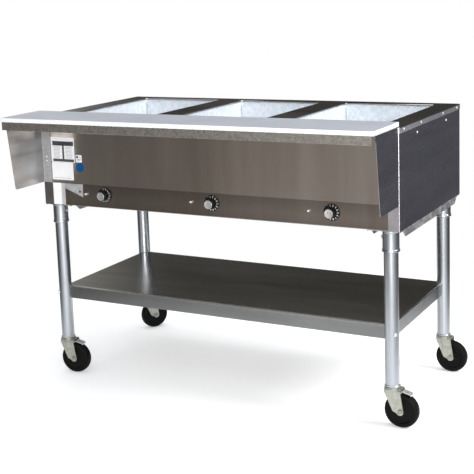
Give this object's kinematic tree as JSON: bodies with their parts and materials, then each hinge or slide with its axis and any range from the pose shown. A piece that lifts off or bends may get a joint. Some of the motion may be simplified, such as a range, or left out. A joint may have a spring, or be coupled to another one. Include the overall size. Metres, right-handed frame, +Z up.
{
  "type": "steam table",
  "caption": "Mobile stainless hot food table with open wells, control knobs, front work board, flat undershelf and swivel casters on round legs.",
  "frame": {"origin": "middle of the bottom of the whole table's bounding box, on the floor under the wheels", "axes": "+X along the table to the right as seen from the controls, +Y back from the controls, +Z up"},
  "size_m": [1.261, 0.788, 0.883],
  "materials": {
    "stainless": "brushed",
    "galvanised": "galvanised",
    "leg_zinc": "galvanised tube",
    "caster_zinc": "zinc plated",
    "fastener": "plated",
    "poly_board": "satin",
    "black_plastic": "satin",
    "cap_metal": "spun",
    "switch_plastic": "matt",
    "lens": "clear",
    "plate_white": "satin",
    "element_sheath": "dark",
    "insulation": "fibrous",
    "wheel_rubber": "moulded",
    "gland_plastic": "moulded"
  },
  "bodies": {
    "cabinet": {"top_sheet": "stainless", "left_end_panel": "stainless", "right_end_panel": "stainless", "front_panel": "stainless", "control_panel": "stainless", "rear_panel": "stainless", "bottom_pan": "stainless", "insulation_boards": "insulation", "element_brackets": "stainless", "terminal_box": "stainless", "cord_gland": "gland_plastic", "pilot_lights": "lens", "left_bracket": "stainless", "right_bracket": "stainless", "work_shelf": "stainless", "left_leg_channel": "stainless", "right_leg_channel": "stainless", "leg_sockets": "leg_zinc", "socket_screws": "fastener", "undershelf": "stainless", "undershelf_bolts": "fastener", "caster_stems": "caster_zinc", "cabinet_screws": "fastener", "blank_plates": "plate_white", "corner_cover": "stainless", "corner_tab": "stainless", "well_liner_1": "galvanised", "heating_element_1": "element_sheath", "infinite_switch_1": "switch_plastic", "well_liner_2": "galvanised", "heating_element_2": "element_sheath", "infinite_switch_2": "switch_plastic", "well_liner_3": "galvanised", "heating_element_3": "element_sheath", "infinite_switch_3": "switch_plastic", "front_left_leg": "leg_zinc", "front_right_leg": "leg_zinc", "rear_left_leg": "leg_zinc", "rear_right_leg": "leg_zinc"},
    "cutting_board": {"cutting_board": "poly_board"},
    "control_knob_1": {"knob_1": "black_plastic", "knob_cap_1": "cap_metal"},
    "control_knob_2": {"knob_2": "black_plastic", "knob_cap_2": "cap_metal"},
    "control_knob_3": {"knob_3": "black_plastic", "knob_cap_3": "cap_metal"},
    "front_left_swivel": {"front_left_fork": "caster_zinc", "front_left_axle": "fastener"},
    "front_left_rolling_wheel": {"front_left_wheel": "wheel_rubber"},
    "front_left_brake": {"front_left_pedal": "caster_zinc"},
    "front_right_swivel": {"front_right_fork": "caster_zinc", "front_right_axle": "fastener"},
    "front_right_rolling_wheel": {"front_right_wheel": "wheel_rubber"},
    "front_right_brake": {"front_right_pedal": "caster_zinc"},
    "rear_left_swivel": {"rear_left_fork": "caster_zinc", "rear_left_axle": "fastener"},
    "rear_left_rolling_wheel": {"rear_left_wheel": "wheel_rubber"},
    "rear_right_swivel": {"rear_right_fork": "caster_zinc", "rear_right_axle": "fastener"},
    "rear_right_rolling_wheel": {"rear_right_wheel": "wheel_rubber"}
  },
  "joints": [
    {"name": "board_lift", "type": "slide", "parent": "cabinet", "child": "cutting_board", "axis": [0, 0, 1], "range_m": [0, 0.25]},
    {"name": "knob_1_turn", "type": "hinge", "parent": "cabinet", "child": "control_knob_1", "pos_m": [-0.3913, -0.1966, 0.6185], "axis": [0, -1, 0], "continuous": true},
    {"name": "knob_2_turn", "type": "hinge", "parent": "cabinet", "child": "control_knob_2", "pos_m": [-0.0023, -0.1966, 0.6185], "axis": [0, -1, 0], "continuous": true},
    {"name": "knob_3_turn", "type": "hinge", "parent": "cabinet", "child": "control_knob_3", "pos_m": [0.3867, -0.1966, 0.6185], "axis": [0, -1, 0], "continuous": true},
    {"name": "front_left_swivel_turn", "type": "hinge", "parent": "cabinet", "child": "front_left_swivel", "pos_m": [-0.5903, -0.169, 0.115], "axis": [0, 0, 1], "continuous": true},
    {"name": "front_left_wheel_spin", "type": "hinge", "parent": "front_left_swivel", "child": "front_left_rolling_wheel", "pos_m": [-0.56241, -0.16656, 0.0508], "axis": [-0.0872, 0.9962, 0], "continuous": true},
    {"name": "front_left_brake_press", "type": "hinge", "parent": "front_left_swivel", "child": "front_left_brake", "pos_m": [-0.56241, -0.16656, 0.107], "axis": [-0.0872, 0.9962, 0], "range_deg": [0, 5]},
    {"name": "front_right_swivel_turn", "type": "hinge", "parent": "cabinet", "child": "front_right_swivel", "pos_m": [0.5517, -0.169, 0.115], "axis": [0, 0, 1], "continuous": true},
    {"name": "front_right_wheel_spin", "type": "hinge", "parent": "front_right_swivel", "child": "front_right_rolling_wheel", "pos_m": [0.5797, -0.169, 0.0508], "axis": [0, 1, 0], "continuous": true},
    {"name": "front_right_brake_press", "type": "hinge", "parent": "front_right_swivel", "child": "front_right_brake", "pos_m": [0.5797, -0.169, 0.107], "axis": [0, 1, 0], "range_deg": [0, 5]},
    {"name": "rear_left_swivel_turn", "type": "hinge", "parent": "cabinet", "child": "rear_left_swivel", "pos_m": [-0.5903, 0.316, 0.115], "axis": [0, 0, 1], "continuous": true},
    {"name": "rear_left_wheel_spin", "type": "hinge", "parent": "rear_left_swivel", "child": "rear_left_rolling_wheel", "pos_m": [-0.5763, 0.34025, 0.0508], "axis": [-0.866, 0.5, 0], "continuous": true},
    {"name": "rear_right_swivel_turn", "type": "hinge", "parent": "cabinet", "child": "rear_right_swivel", "pos_m": [0.5517, 0.316, 0.115], "axis": [0, 0, 1], "continuous": true},
    {"name": "rear_right_wheel_spin", "type": "hinge", "parent": "rear_right_swivel", "child": "rear_right_rolling_wheel", "pos_m": [0.5797, 0.316, 0.0508], "axis": [0, 1, 0], "continuous": true}
  ]
}
